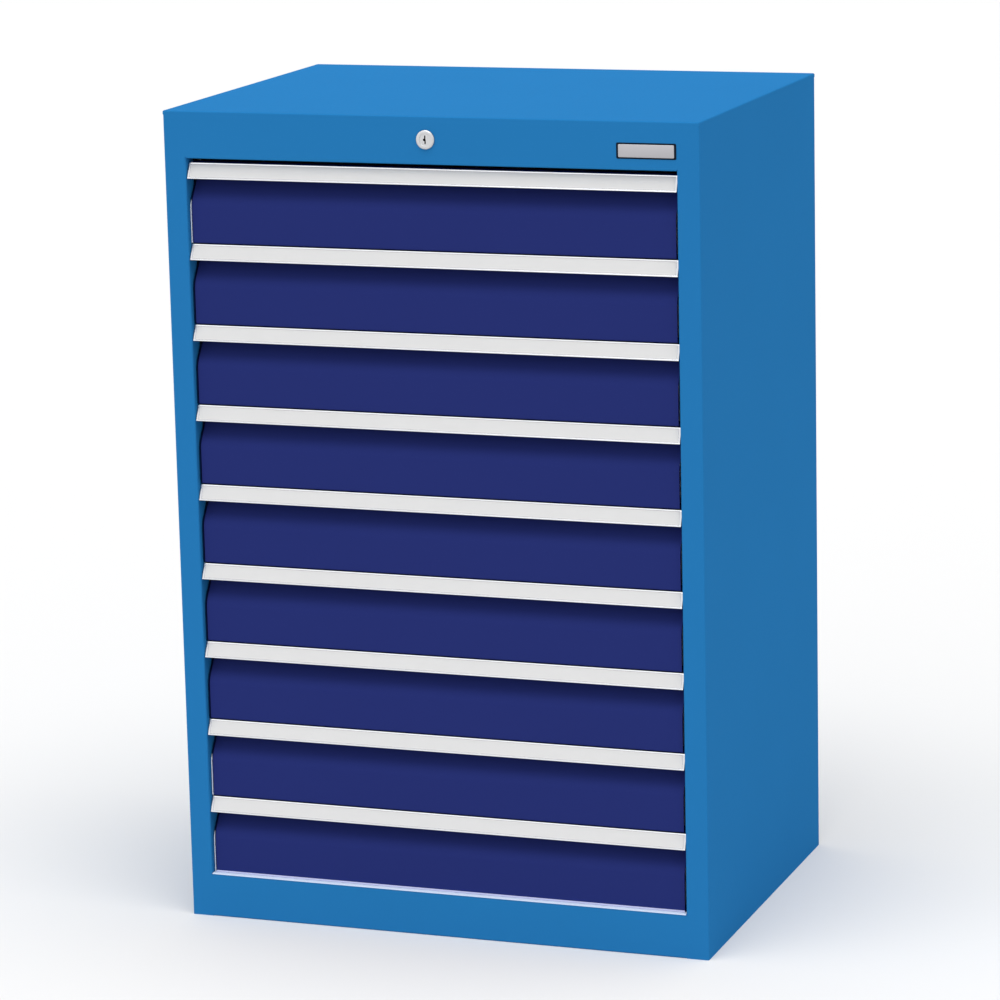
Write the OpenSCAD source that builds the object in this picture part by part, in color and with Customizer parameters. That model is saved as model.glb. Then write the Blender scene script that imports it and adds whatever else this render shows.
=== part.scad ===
// Workshop drawer cabinet: a welded sheet-steel carcass, a column of equal drawers that pull right
// out on roller slides, full-width grip strips with label inserts, and one central lock.
// Millimetres, +Z up. The front faces -Y and the origin is on the floor, under the carcass's middle.
// Drawers are numbered from the top.

/* [Carcass] */
// Outer width of the carcass
cabinet_w = 680; // [600:5:800]
// Outer depth of the carcass
cabinet_d = 500; // [460:5:620]
// Thickness of the carcass sheet
panel_t = 1.5; // [1:0.1:2]
// Outside radius of the carcass bends
bend_r = 2; // [2:0.5:5]
// Width of the stile on each side of the drawers
stile_w = 28; // [24:1:40]
// Depth of the flanges that turn back from the stiles and the rails
return_d = 22; // [14:1:26]
// Height of the rail above the drawers
top_rail_h = 58; // [50:1:80]
// Height of the rail below the drawers
bottom_rail_h = 55.5; // [45:0.5:90]
// Width of the flanges that frame the back panel
back_flange_w = 25; // [16:1:40]
// Radius of the floor-fixing holes
floor_hole_r = 5.5; // [4:0.5:8]
// Distance of the floor-fixing holes from the carcass edges
floor_hole_inset = 70; // [50:1:90]

/* [Drawer fronts] */
// Number of drawers
drawer_count = 9; // [2:1:9]
// Height that one drawer takes up
drawer_pitch = 100; // [96:1:140]
// Gap between one drawer front and the next
front_gap = 1.5; // [1:0.5:4]
// Gap between a drawer front and the stile beside it
side_gap = 1; // [1:0.5:4]
// Gap between the lowest drawer and the bottom rail
bottom_gap = 1; // [1:0.5:5]
// Gap between the highest drawer and the top rail
top_gap = 6; // [3:0.5:12]
// How far the drawer fronts stand back from the carcass front
front_recess = 6; // [5:0.5:12]
// Thickness of the front skin
skin_t = 1.2; // [0.8:0.1:1.5]
// Depth of the bottom flange of the front skin
skin_foot = 14; // [8:1:18]
// How far the skin leans back behind the grip
pocket_d = 20; // [17:1:26]
// Height of the part of the skin that leans back, with the grip above it
pocket_h = 48; // [44:0.5:60]
// Radius of the soft bend where the skin starts to lean back
pocket_bend_r = 24; // [10:1:30]

/* [Grip strips] */
// Height of the slanted grip face
grip_h = 18.6; // [16:0.2:21]
// How far the lower edge of the grip stands back from the carcass front
grip_nose_recess = 1; // [0.5:0.5:3]
// How much further back the upper edge of the grip stands
grip_lean = 7; // [4:0.5:10]
// Thickness of the grip face
grip_t = 3; // [2.4:0.1:4]
// Thickness of the grip's roof and clip legs
grip_web_t = 1.8; // [1.4:0.1:2.4]
// Length of the clip legs that straddle the top of the front
clip_leg = 12; // [8:1:14]
// Width of the lips above and below the label
label_lip = 1.5; // [1:0.1:2.5]
// Width of the closed ends of the label channel
label_end = 2.5; // [1:0.5:6]
// Depth of the label channel
label_depth = 1.2; // [1:0.1:1.5]
// Thickness of the label insert
label_t = 0.8; // [0.4:0.1:0.9]

/* [Drawer trays] */
// Thickness of the tray sheet
tray_t = 1.2; // [1:0.1:2]
// Height of the tray's side and back walls
wall_h = 75; // [66:1:85]
// Width of the hem along the top of the side walls
hem_w = 8; // [4:1:12]
// Room behind the trays for the lock bar
rear_space = 64; // [56:1:90]

/* [Slides] */
// Room for the slide between a tray wall and the posts
slide_space = 24; // [22:0.5:30]
// Thickness of the slide steel
rail_t = 2; // [1.5:0.1:2.5]
// Height of the cabinet rail above the drawer's underside
rail_z = 25; // [18:1:32]
// Diameter of the rollers
roller_d = 18; // [14:1:20]
// Width of the rollers
roller_w = 10; // [6:0.5:11]
// Diameter of the roller spindles
spindle_d = 6; // [4:0.5:8]
// Rollers on each carriage
roller_count = 3; // [2:1:5]
// Length of the carriage bars
carriage_l = 220; // [160:5:300]
// Thickness of the carriage bars
carriage_t = 3; // [2:0.5:4]
// Height of the carriage bars
carriage_h = 14; // [10:1:14]
// Width of the slotted posts
post_w = 30; // [20:1:40]
// Distance from the ends of the rails to the middle of the posts
post_inset = 30; // [25:1:60]

/* [Lock] */
// Distance of the lock axis below the top of the carcass
lock_drop = 28; // [24:1:32]
// Diameter of the lock's front flange
lock_flange_d = 23.5; // [22:0.5:30]
// Thickness of the lock's front flange
lock_flange_t = 2.5; // [1.5:0.5:4]
// Diameter of the lock's threaded body
lock_body_d = 18.5; // [17.5:0.5:20]
// Length of the lock's body behind the front face of the carcass
lock_body_l = 28; // [20:1:40]
// Diameter of the plug that the key turns
plug_d = 14; // [13:0.5:15]
// Side of the square tail that drives the shaft
tail_w = 6; // [4:0.5:7]
// Width of the lock nut across its flats
nut_w = 24; // [23:0.5:28]
// Thickness of the lock nut
nut_t = 5; // [3:0.5:8]
// Diameter of the shaft that runs to the back
shaft_d = 8; // [6:0.5:10]
// Throw of the crank at the end of the shaft
crank_r = 8.5; // [7:0.5:9]
// Diameter of the crank pin
pin_d = 5; // [4:0.5:6]
// Width of the lock bar
bar_w = 30; // [28:1:40]
// Thickness of the lock bar
bar_t = 3; // [2:0.5:4]
// Height of the drawer catch above the drawer's underside
catch_z = 45; // [42:1:48]
// Drawers from one lock-bar guide to the next
guide_step = 4; // [1:1:8]

/* [Badge] */
// Width of the badge plate
badge_w = 72; // [50:1:90]
// Height of the badge plate
badge_h = 17; // [12:0.5:20]
// Thickness of the badge plate
badge_t = 1.2; // [0.8:0.1:2]
// Corner radius of the badge plate
badge_r = 1.5; // [0.5:0.5:4]
// Distance of the badge's middle below the top of the carcass
badge_drop = 34.6; // [30:0.2:38]

/* [Hidden] */
$fn = 48;
arc_step = 15;        // degrees of a bend in one straight piece of its outline

// Colours
carcass_blue = "#2777B4";
front_blue = "#283270";
tray_grey = "#D3D6D8";
grip_silver = "#D9DADB";
label_white = "#E6E6E4";
slide_zinc = "#A9AEB2";
lock_nickel = "#D2D1CE";
lock_steel = "#8E9296";

// Clearances
run_gap = 0.3;        // between pieces that slide or roll on each other
fit_gap = 0.2;        // between pieces that are pushed together
pin_gap = 0.05;       // around a turning pin, on the radius
slot_gap = 0.6;       // around the crank pin in its slot, which takes up the arc of the crank
pass_gap = 1;         // between pieces that pass each other unguided
skin_gap = 1.5;       // between the front skin and the cheeks beside it
cut = 1;              // how far a cutter runs past the face that it opens
lap = 1;              // overlap of pieces that are welded into one

// Carcass
front_y = -cabinet_d / 2;
back_y = cabinet_d / 2;
open_x = cabinet_w / 2 - stile_w;
first_z = bottom_rail_h + bottom_gap;
open_top_z = first_z + drawer_count * drawer_pitch - front_gap + top_gap;
cabinet_h = open_top_z + top_rail_h;
rim_skirt = 3;        // straight part of the top sheet's bent edges
rim_z = cabinet_h - bend_r - rim_skirt;
ledge_lip = 12;       // down-turned lip at the back of the bottom rail's ledge

// Drawer fronts, with heights above the drawer's underside
front_h = drawer_pitch - front_gap;
front_x = open_x - side_gap;
face_y = front_y + front_recess;
pocket_y = face_y + pocket_d;
plate_y = pocket_y + skin_t;
plate_step = 2;       // how far the tray's front plate ends below the skin
lean_z = front_h - pocket_h;
lean_top_z = front_h - grip_h - pass_gap;
skin_top_z = front_h - grip_web_t - fit_gap;
plate_top_z = skin_top_z - plate_step;
skin_bend_r = 2.5;    // small bends of the front skin
pocket_top_r = 6;     // bend where the skin stands up again behind the grip
skin_path = [
    [pocket_y, skin_top_z],
    [pocket_y, lean_top_z],
    [face_y, lean_z],
    [face_y, 0],
    [face_y + skin_foot, 0]
];
skin_radii = [0, pocket_top_r, pocket_bend_r, skin_bend_r, 0];
flange_z = skin_t + fit_gap;      // underside of the tray's front flange, above the skin's foot

// Grip strips
clip_back_y = plate_y + tray_t + fit_gap + grip_web_t;
grip_low = [front_y + grip_nose_recess, front_h - grip_h];
grip_high = grip_low + [grip_lean, grip_h];
grip_along = unit(grip_high - grip_low);
grip_in = -left(grip_along);
nose_r = 2.1;         // bead along the lower edge of the grip

// Trays and slides
tray_x = open_x - slide_space;
slide_front_y = clip_back_y + pass_gap;
tray_back_y = back_y - rear_space;
slide_mid_y = (slide_front_y + tray_back_y) / 2;
runner_leg = 14;      // height of the runner's welded leg
rail_inner_r = 0.5;   // inside radius of the rail's bends
rail_flange = slide_space - rail_t - pass_gap;
roller_z = rail_z + rail_t + run_gap + roller_d / 2;
runner_z = roller_z + roller_d / 2 + run_gap;
rail_h = runner_z + rail_t + run_gap + rail_t - rail_z;
washer_t = 0.5;       // between a roller and its bar
spindle_end = 1;      // how far a spindle stands out of its bar
roller_margin = 15;   // from the end of a bar to its first roller
bar_out_x = open_x - rail_t - 2 * pass_gap;
bar_in_x = bar_out_x - carriage_t;
roller_out_x = bar_in_x - washer_t;
roller_pitch = (carriage_l - 2 * roller_margin) / (roller_count - 1);

// Posts, and the hooks that hang the rails in their slots
post_t = 1.5;
post_bend_r = 3;
post_ys = [slide_front_y + post_inset, tray_back_y - post_inset];
tab_w = 3;
tab_h = 8;
tab_drop = 4;
tab_lift = 8;         // height of the hooks above the underside of the rail
tab_z = rail_z + tab_lift;

// Key side of the lock
lock_z = cabinet_h - lock_drop;
plug_step = 0.5;      // how far the plug stands behind the flange's face
plug_out = 4;         // how far the plug stands out of the back of the housing
plug_front_y = front_y - lock_flange_t + plug_step;
plug_back_y = front_y + lock_body_l + plug_out;
tail_l = 10;
coupler_l = 14;
key_w = 1.6;
key_h = 10.4;
key_step = 0.3;
key_bulge_x = 1;
key_bulge_r = 1.5;

// Catches on the trays, and the hooks on the lock bar
catch_d = 20;         // how far a catch reaches back from its tray
catch_w = 24;
catch_t = 3;
catch_lip = 14;
catch_clear = 3;      // between an unlocked hook and the catch above it
finger_gap = 1;       // between a locked hook and the lip of its catch
hook_w = 16;
hook_low = 16;        // from the catch's lip down to the hook's arm
hook_foot = 10;       // height of the hook's foot on the bar

// Lock bar, crank and guides
bar_gap = 9;          // between the catches and the bar
bar_end = 2;          // bar below the lowest hook
bar_head = 4;         // bar above the lock axis while unlocked
crank_gap = 7;        // between the crank and the bar
crank_t = 3;
crank_rim = 2;        // metal around the crank pin
bar_y = tray_back_y + catch_d + bar_gap;
bar_low_z = first_z + catch_z - hook_low - hook_foot - bar_end;
bar_high_z = lock_z + bar_head;
crank_y = bar_y - crank_gap - crank_t;
crank_start = 45;     // the quarter turn runs from so far below the level of the axis to so far above it
crank_dx = crank_r * cos(crank_start);
guide_t = 2;
guide_h = 16;
guide_lip = 5;        // overlap of the guide's lips and the bar
guide_z = 68;         // guides above the drawer's underside, clear of hooks and catches
bearing_gap = 12;     // between the shaft's bearing and the crank
bearing_w = 28;
bearing_y = crank_y - bearing_gap - guide_t;
badge_inset = 1;      // from the badge to the stile

// Names and heights of the drawers
function drawer_node(n, piece) = str("drawer_", n, "_", piece);
function drawer_z(n) = first_z + (drawer_count - n) * drawer_pitch;

// Plane vectors
function unit(v) = v / norm(v);
function left(v) = [-v.y, v.x];
function turned(v, a) = [v.x * cos(a) - v.y * sin(a), v.x * sin(a) + v.y * cos(a)];
function reversed(list) = [for (i = [len(list) - 1:-1:0]) list[i]];

// A path's directions into and out of its point i, and the side that it turns to there
function way_in(p, i) = unit(p[max(i, 1)] - p[max(i, 1) - 1]);
function way_out(p, i) = unit(p[min(i, len(p) - 2) + 1] - p[min(i, len(p) - 2)]);
function side_of(p, i) = sign(cross(way_in(p, i), way_out(p, i)));

// The arc of radius r that rounds the path at point i, or the point itself where nothing is rounded
function arc_at(p, i, r) =
    let (
        a = way_in(p, i),
        b = way_out(p, i),
        side = side_of(p, i),
        bend = acos(min(1, a * b)),
        steps = max(2, ceil(bend / arc_step)),
        start = p[i] - a * r * tan(bend / 2),
        middle = start + side * r * left(a)
    )
    r <= 0 || side == 0
        ? [p[i]]
        : [for (k = [0:steps]) middle + turned(start - middle, side * bend * k / steps)];
function rounded(p, radii) = [for (i = [0:len(p) - 1]) each arc_at(p, i, radii[i])];

// The same path moved t to its left
function moved(p, t) = [
    for (i = [0:len(p) - 1])
        let (a = left(way_in(p, i)), b = left(way_out(p, i)))
        p[i] + t * (a + b) / (1 + a * b)
];

// Inner face of a bent sheet of thickness t whose outer face follows the path, and the sheet's outline
function inner_face(p, radii, t) =
    rounded(moved(p, t), [for (i = [0:len(p) - 1]) max(0, radii[i] - side_of(p, i) * t)]);
function sheet(p, radii, t) = concat(rounded(p, radii), reversed(inner_face(p, radii, t)));
function bends(p, r) = [for (i = [0:len(p) - 1]) i == 0 || i == len(p) - 1 ? 0 : r];

// Extrusions of an outline that is drawn in the plane across the named axis
module along_x(x0, x1) { translate([x0, 0, 0]) rotate([90, 0, 90]) linear_extrude(x1 - x0) children(); }
module along_y(y0, y1) { translate([0, y1, 0]) rotate([90, 0, 0]) linear_extrude(y1 - y0) children(); }
module along_z(z0, z1) { translate([0, 0, z0]) linear_extrude(z1 - z0) children(); }
module block(low, high) { translate(low) cube(high - low); }
module rod_y(x, z, d, y0, y1) { translate([x, y0, z]) rotate([-90, 0, 0]) cylinder(d = d, h = y1 - y0); }
module rod_x(y, z, d, x0, x1) { translate([x0, y, z]) rotate([0, 90, 0]) cylinder(d = d, h = x1 - x0); }
module both_sides() {
    children();
    mirror([1, 0, 0]) children();
}

// Right-hand side sheet: back flange, side, stile and the flange that turns back beside the drawers,
// with the stile's inner bend filled where the rails are welded to it
module side_sheet() {
    path = [
        [open_x, front_y + return_d],
        [open_x, front_y],
        [cabinet_w / 2, front_y],
        [cabinet_w / 2, back_y],
        [cabinet_w / 2 - back_flange_w, back_y]
    ];
    along_z(0, rim_z) polygon(sheet(path, bends(path, bend_r), panel_t));
    for (z = [[0, bottom_rail_h - bend_r], [open_top_z + bend_r, rim_z]])
        block([open_x, front_y, z[0]], [open_x + bend_r + lap, front_y + panel_t, z[1]]);
}
module left_side_panel() { color(carcass_blue) mirror([1, 0, 0]) side_sheet(); }
module right_side_panel() { color(carcass_blue) side_sheet(); }

// Slab of the given width and depth whose top edges are rounded, reaching down to low_z
module rounded_slab(w, d, top_z, low_z, r) {
    intersection() {
        along_y(-d / 2, d / 2) polygon(slab_end(w, top_z, low_z, r));
        along_x(-w / 2, w / 2) polygon(slab_end(d, top_z, low_z, r));
    }
}
function slab_end(w, top_z, low_z, r) = rounded(
    [[w / 2, low_z], [w / 2, top_z], [-w / 2, top_z], [-w / 2, low_z]], [0, r, r, 0]
);

// Top sheet with its four bent edges, the rail above the drawers and the flange over the back panel
module top_panel() {
    rail = [[front_y, cabinet_h - bend_r], [front_y, open_top_z], [front_y + return_d, open_top_z]];
    flange_x = cabinet_w / 2 - back_flange_w;
    color(carcass_blue) difference() {
        union() {
            difference() {
                rounded_slab(cabinet_w, cabinet_d, cabinet_h, rim_z, bend_r);
                rounded_slab(
                    cabinet_w - 2 * panel_t, cabinet_d - 2 * panel_t,
                    cabinet_h - panel_t, rim_z - cut, bend_r - panel_t
                );
            }
            along_x(-open_x, open_x) polygon(sheet(rail, bends(rail, bend_r), panel_t));
            block(
                [-flange_x, back_y - panel_t, cabinet_h - back_flange_w],
                [flange_x, back_y, cabinet_h - bend_r]
            );
        }
        rod_y(0, lock_z, lock_body_d + 2 * fit_gap, front_y - cut, front_y + panel_t + cut);
    }
}

// Flat back sheet, behind the flanges of its four neighbours
module back_panel() {
    x = cabinet_w / 2 - bend_r;
    color(carcass_blue) block(
        [-x, back_y - 2 * panel_t, panel_t],
        [x, back_y - panel_t, cabinet_h - bend_r]
    );
}

// Floor sheet with the rail below the drawers, the back flange and the floor-fixing holes
module base_pan() {
    ledge_y = front_y + return_d;
    wide_x = cabinet_w / 2 - panel_t;
    flange_x = cabinet_w / 2 - back_flange_w;
    hole_x = cabinet_w / 2 - floor_hole_inset;
    hole_y = cabinet_d / 2 - floor_hole_inset;
    rail = [
        [ledge_y, bottom_rail_h - ledge_lip],
        [ledge_y, bottom_rail_h],
        [front_y, bottom_rail_h],
        [front_y, 0],
        [ledge_y + bend_r, 0]
    ];
    color(carcass_blue) difference() {
        union() {
            along_x(-open_x, open_x) polygon(sheet(rail, bends(rail, bend_r), panel_t));
            block([-wide_x, ledge_y, 0], [wide_x, back_y - bend_r, panel_t]);
            block([-flange_x, ledge_y, 0], [flange_x, back_y, panel_t]);
            block([-flange_x, back_y - panel_t, 0], [flange_x, back_y, back_flange_w]);
            both_sides() block([open_x + panel_t, front_y + bend_r, 0], [wide_x, ledge_y + lap, panel_t]);
        }
        for (x = [-hole_x, hole_x], y = [-hole_y, hole_y])
            translate([x, y, -cut]) cylinder(r = floor_hole_r, h = panel_t + 2 * cut);
    }
}

// Four channel-shaped posts, each with one slot for every rail
module runner_posts() {
    out_x = cabinet_w / 2 - panel_t;
    color(slide_zinc) both_sides() for (y = post_ys) difference() {
        path = [
            [out_x, y + post_w / 2],
            [open_x, y + post_w / 2],
            [open_x, y - post_w / 2],
            [out_x, y - post_w / 2]
        ];
        along_z(panel_t, cabinet_h - bend_r) polygon(sheet(path, bends(path, post_bend_r), post_t));
        for (n = [1:drawer_count]) translate([0, 0, drawer_z(n) + tab_z]) block(
            [open_x - cut, y - tab_w / 2 - run_gap, -run_gap],
            [open_x + post_t + cut, y + tab_w / 2 + run_gap, tab_h + tab_drop + run_gap]
        );
    }
}

// Fixed rails on both sides of every drawer, hooked into the posts
module cabinet_rails() {
    path = [
        [open_x - rail_flange, rail_z],
        [open_x, rail_z],
        [open_x, rail_z + rail_h],
        [open_x - rail_flange, rail_z + rail_h]
    ];
    hook_x = open_x + post_t + fit_gap;
    color(slide_zinc) both_sides() for (n = [1:drawer_count]) translate([0, 0, drawer_z(n)]) {
        along_y(slide_front_y, tray_back_y)
            polygon(sheet(path, bends(path, rail_t + rail_inner_r), rail_t));
        for (y = post_ys) {
            block([open_x - rail_t, y - tab_w / 2, tab_z], [hook_x + rail_t, y + tab_w / 2, tab_z + tab_h]);
            block(
                [hook_x, y - tab_w / 2, tab_z - tab_drop],
                [hook_x + rail_t, y + tab_w / 2, tab_z + tab_h]
            );
        }
    }
}

// Middle members of one drawer's slides: a bar with riveted rollers on each side
module drawer_carriages(n) {
    color(slide_zinc) both_sides() translate([0, 0, drawer_z(n)]) {
        difference() {
            block(
                [bar_in_x, slide_mid_y - carriage_l / 2, roller_z - carriage_h / 2],
                [bar_out_x, slide_mid_y + carriage_l / 2, roller_z + carriage_h / 2]
            );
            for (k = [0:roller_count - 1])
                rod_x(roller_y(k), roller_z, spindle_d + 2 * pin_gap, bar_in_x - cut, bar_out_x + cut);
        }
        for (k = [0:roller_count - 1]) {
            rod_x(roller_y(k), roller_z, roller_d, roller_out_x - roller_w, roller_out_x);
            rod_x(roller_y(k), roller_z, spindle_d, roller_out_x - lap, bar_out_x + spindle_end);
        }
    }
}
function roller_y(k) = slide_mid_y + (k - (roller_count - 1) / 2) * roller_pitch;

// Welded tray of one drawer: box, front plate with its cheeks, runners and the lock catch
module drawer_tray(n) {
    edge = [[pocket_y, plate_top_z], [pocket_y, lean_top_z], [face_y, lean_z], [face_y, 0]];
    cheek = concat(
        inner_face(edge, [0, pocket_top_r, pocket_bend_r, 0], skin_t),
        [[plate_y + tray_t, 0], [plate_y + tray_t, plate_top_z]]
    );
    color(tray_grey) translate([0, 0, drawer_z(n)]) {
        block([-tray_x, plate_y, 0], [tray_x, tray_back_y, tray_t]);
        block(
            [-front_x, face_y + skin_bend_r + fit_gap, flange_z],
            [front_x, plate_y + tray_t, flange_z + tray_t]
        );
        block([-front_x, plate_y, 0], [front_x, plate_y + tray_t, plate_top_z]);
        block([-tray_x, tray_back_y - tray_t, 0], [tray_x, tray_back_y, wall_h]);
        both_sides() {
            along_x(front_x - tray_t, front_x) polygon(cheek);
            block([tray_x - tray_t, plate_y, 0], [tray_x, tray_back_y, wall_h]);
            block([tray_x - tray_t, plate_y, wall_h - tray_t], [tray_x + hem_w, tray_back_y, wall_h]);
            tray_runner();
        }
        tray_catch();
    }
}

// Angle that rolls on the carriage, held down by the upper flange of the cabinet rail
module tray_runner() {
    reach_x = roller_out_x - pass_gap;
    block([tray_x - tray_t, plate_y, runner_z], [reach_x, tray_back_y, runner_z + rail_t]);
    block([tray_x - tray_t, plate_y, runner_z], [tray_x + rail_t, tray_back_y, runner_z + runner_leg]);
}

// Lip behind the tray that the lock hook holds
module tray_catch() {
    top_z = catch_z + catch_lip;
    end_y = tray_back_y + catch_d;
    block([-catch_w / 2, tray_back_y - tray_t, top_z - rail_t], [catch_w / 2, end_y, top_z]);
    block([-catch_w / 2, end_y - catch_t, catch_z], [catch_w / 2, end_y, top_z]);
}

// Painted skin of one drawer front, leaning back at the top to make the finger pocket
module drawer_front(n) {
    x = front_x - tray_t - skin_gap;
    color(front_blue) translate([0, 0, drawer_z(n)])
        along_x(-x, x) polygon(sheet(skin_path, skin_radii, skin_t));
}

// Extruded grip strip: slanted face with a label channel, roof, and legs that clip over the front
module drawer_grip(n) {
    roof_z = front_h - grip_web_t;
    leg_z = roof_z - clip_leg;
    front_leg_y = pocket_y - fit_gap;
    back_leg_y = clip_back_y - grip_web_t;
    nose = grip_low + grip_in * (nose_r + fit_gap) + grip_along * nose_r / 2;
    outline = [
        grip_low, grip_high, [clip_back_y, front_h], [clip_back_y, leg_z],
        [back_leg_y, leg_z], [back_leg_y, roof_z],
        [front_leg_y, roof_z], [front_leg_y, leg_z],
        [front_leg_y - grip_web_t, leg_z], [front_leg_y - grip_web_t, roof_z],
        [grip_high.x + grip_t, roof_z], grip_low + grip_in * grip_t
    ];
    color(grip_silver) translate([0, 0, drawer_z(n)]) difference() {
        union() {
            along_x(-front_x, front_x) polygon(outline);
            rod_x(nose.x, nose.y, 2 * nose_r, -front_x, front_x);
        }
        along_x(label_end - front_x, front_x - label_end) polygon(label_section(-cut, label_depth, 0));
    }
}

// Section of the label channel between two depths in from the grip's face, with a gap at its ends
function label_section(from, to, gap) = let (
    low = grip_low + grip_along * (label_lip + gap),
    high = grip_high - grip_along * (label_lip + gap)
) [low + grip_in * from, high + grip_in * from, high + grip_in * to, low + grip_in * to];

// Label insert, loose in the grip's channel
module drawer_label(n) {
    back = label_depth - fit_gap;
    x = front_x - label_end - fit_gap;
    color(label_white) translate([0, 0, drawer_z(n)])
        along_x(-x, x) polygon(label_section(back - label_t, back, fit_gap));
}

// Fixed body of the lock, with its flange on the face of the top rail
module lock_housing() {
    color(lock_nickel) difference() {
        union() {
            rod_y(0, lock_z, lock_flange_d, front_y - lock_flange_t, front_y);
            rod_y(0, lock_z, lock_body_d, front_y - lap, front_y + lock_body_l);
        }
        rod_y(0, lock_z, plug_d + 2 * pin_gap, front_y - lock_flange_t - cut, front_y + lock_body_l + cut);
    }
}

// Hexagon nut behind the top rail
module lock_nut() {
    nut_y = front_y + panel_t;
    color(lock_steel) difference() {
        translate([0, nut_y, lock_z]) rotate([-90, 0, 0])
            cylinder(d = nut_w / cos(30), h = nut_t, $fn = 6);
        rod_y(0, lock_z, lock_body_d + 2 * pin_gap, nut_y - cut, nut_y + nut_t + cut);
    }
}

// Keyway outline: an upright slot, stepped aside in its lower half, with a bulge to its left
module keyway() {
    translate([-key_w / 2, -key_w / 2]) square([key_w, (key_h + key_w) / 2]);
    translate([key_step - key_w / 2, -key_h / 2]) square([key_w, key_h / 2]);
    translate([-key_bulge_x, 0]) circle(r = key_bulge_r);
}

// Plug that the key turns, with its square tail
module lock_plug() {
    color(lock_nickel) difference() {
        union() {
            rod_y(0, lock_z, plug_d, plug_front_y, plug_back_y);
            block(
                [-tail_w / 2, plug_back_y - lap, lock_z - tail_w / 2],
                [tail_w / 2, plug_back_y + tail_l, lock_z + tail_w / 2]
            );
        }
        translate([0, 0, lock_z]) along_y(plug_front_y - cut, front_y + lock_body_l / 2) keyway();
    }
}

// Shaft from the plug's tail to the crank that lifts the lock bar
module lock_shaft() {
    socket_w = tail_w + 2 * fit_gap;
    coupler_y = plug_back_y + fit_gap;
    color(lock_steel) {
        difference() {
            rod_y(0, lock_z, plug_d, coupler_y, coupler_y + coupler_l);
            block(
                [-socket_w / 2, coupler_y - cut, lock_z - socket_w / 2],
                [socket_w / 2, plug_back_y + tail_l + fit_gap, lock_z + socket_w / 2]
            );
        }
        rod_y(0, lock_z, shaft_d, coupler_y + coupler_l - lap, crank_y + crank_t);
        rod_y(0, lock_z, 2 * (crank_r + crank_rim) + pin_d, crank_y, crank_y + crank_t);
        rod_y(-crank_dx, lock_z - crank_dx, pin_d, crank_y, bar_y + bar_t + pass_gap);
    }
}

// Upright bar that the crank lifts, with the slot for the crank pin
module lock_bar() {
    reach = pin_d / 2 + slot_gap;
    color(lock_steel) difference() {
        block([-bar_w / 2, bar_y, bar_low_z], [bar_w / 2, bar_y + bar_t, bar_high_z]);
        translate([0, 0, lock_z - crank_dx]) block(
            [-crank_r - reach, bar_y - cut, -reach],
            [-crank_dx + reach, bar_y + bar_t + cut, reach]
        );
    }
}

// One hook for each drawer on the lock bar, standing just below its catch while unlocked
module lock_hooks() {
    finger_back_y = tray_back_y + catch_d - catch_t - finger_gap;
    arm_z = catch_z - hook_low;
    finger_top = catch_z - catch_clear;
    color(lock_steel) for (n = [1:drawer_count]) translate([0, 0, drawer_z(n)]) {
        block([-hook_w / 2, finger_back_y - bar_t, arm_z - bar_t], [hook_w / 2, bar_y, arm_z]);
        block([-hook_w / 2, finger_back_y - bar_t, arm_z - bar_t], [hook_w / 2, finger_back_y, finger_top]);
        block([-hook_w / 2, bar_y - bar_t, arm_z - hook_foot], [hook_w / 2, bar_y, arm_z]);
    }
}

// Grooved brackets that guide the lock bar, and the bearing plate of the shaft
module lock_guides() {
    wall_y = back_y - 2 * panel_t;
    groove_x = bar_w / 2 + run_gap;
    leg_x = groove_x + guide_t;
    lip_x = bar_w / 2 - guide_lip;
    lip_ys = [bar_y - run_gap - guide_t, bar_y + bar_t + run_gap];
    color(lock_steel) {
        for (k = [0:guide_step:drawer_count - 1])
            translate([0, 0, first_z + k * drawer_pitch + guide_z]) {
                block([-leg_x, wall_y - guide_t, 0], [leg_x, wall_y, guide_h]);
                both_sides() {
                    block([groove_x, lip_ys[0], 0], [leg_x, wall_y, guide_h]);
                    for (y = lip_ys) block([lip_x, y, 0], [leg_x, y + guide_t, guide_h]);
                }
            }
        difference() {
            block(
                [-bearing_w / 2, bearing_y, lock_z - shaft_d],
                [bearing_w / 2, bearing_y + guide_t, cabinet_h - panel_t]
            );
            rod_y(0, lock_z, shaft_d + 2 * pin_gap, bearing_y - cut, bearing_y + guide_t + cut);
        }
    }
}

// Bare badge plate with rounded corners, at the right-hand end of the top rail
module badge_plate() {
    mid_x = open_x - badge_inset - badge_w / 2;
    corner_x = badge_w / 2 - badge_r;
    corner_z = badge_h / 2 - badge_r;
    color(grip_silver) translate([mid_x, 0, cabinet_h - badge_drop]) along_y(front_y - badge_t, front_y) {
        square([badge_w, 2 * corner_z], center = true);
        square([2 * corner_x, badge_h], center = true);
        for (x = [-corner_x, corner_x], z = [-corner_z, corner_z]) translate([x, z]) circle(r = badge_r);
    }
}

left_side_panel();
right_side_panel();
top_panel();
back_panel();
base_pan();
runner_posts();
cabinet_rails();
lock_housing();
lock_nut();
lock_plug();
lock_shaft();
lock_bar();
lock_hooks();
lock_guides();
badge_plate();
for (n = [1:drawer_count]) {
    drawer_tray(n);
    drawer_front(n);
    drawer_grip(n);
    drawer_label(n);
    drawer_carriages(n);
}
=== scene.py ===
"""Workshop drawer cabinet: finishes, drawer fronts, grip strips, lock, badge, studio and camera.

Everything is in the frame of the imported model. Sizes in the classes are millimetres and heights on a
drawer count from its underside. The front of the cabinet faces -Y.
"""

import logging
import math
from collections.abc import Mapping, Sequence
from dataclasses import dataclass, replace
from enum import Enum

import bpy
import numpy as np
from mathutils import Matrix, Vector


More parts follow.
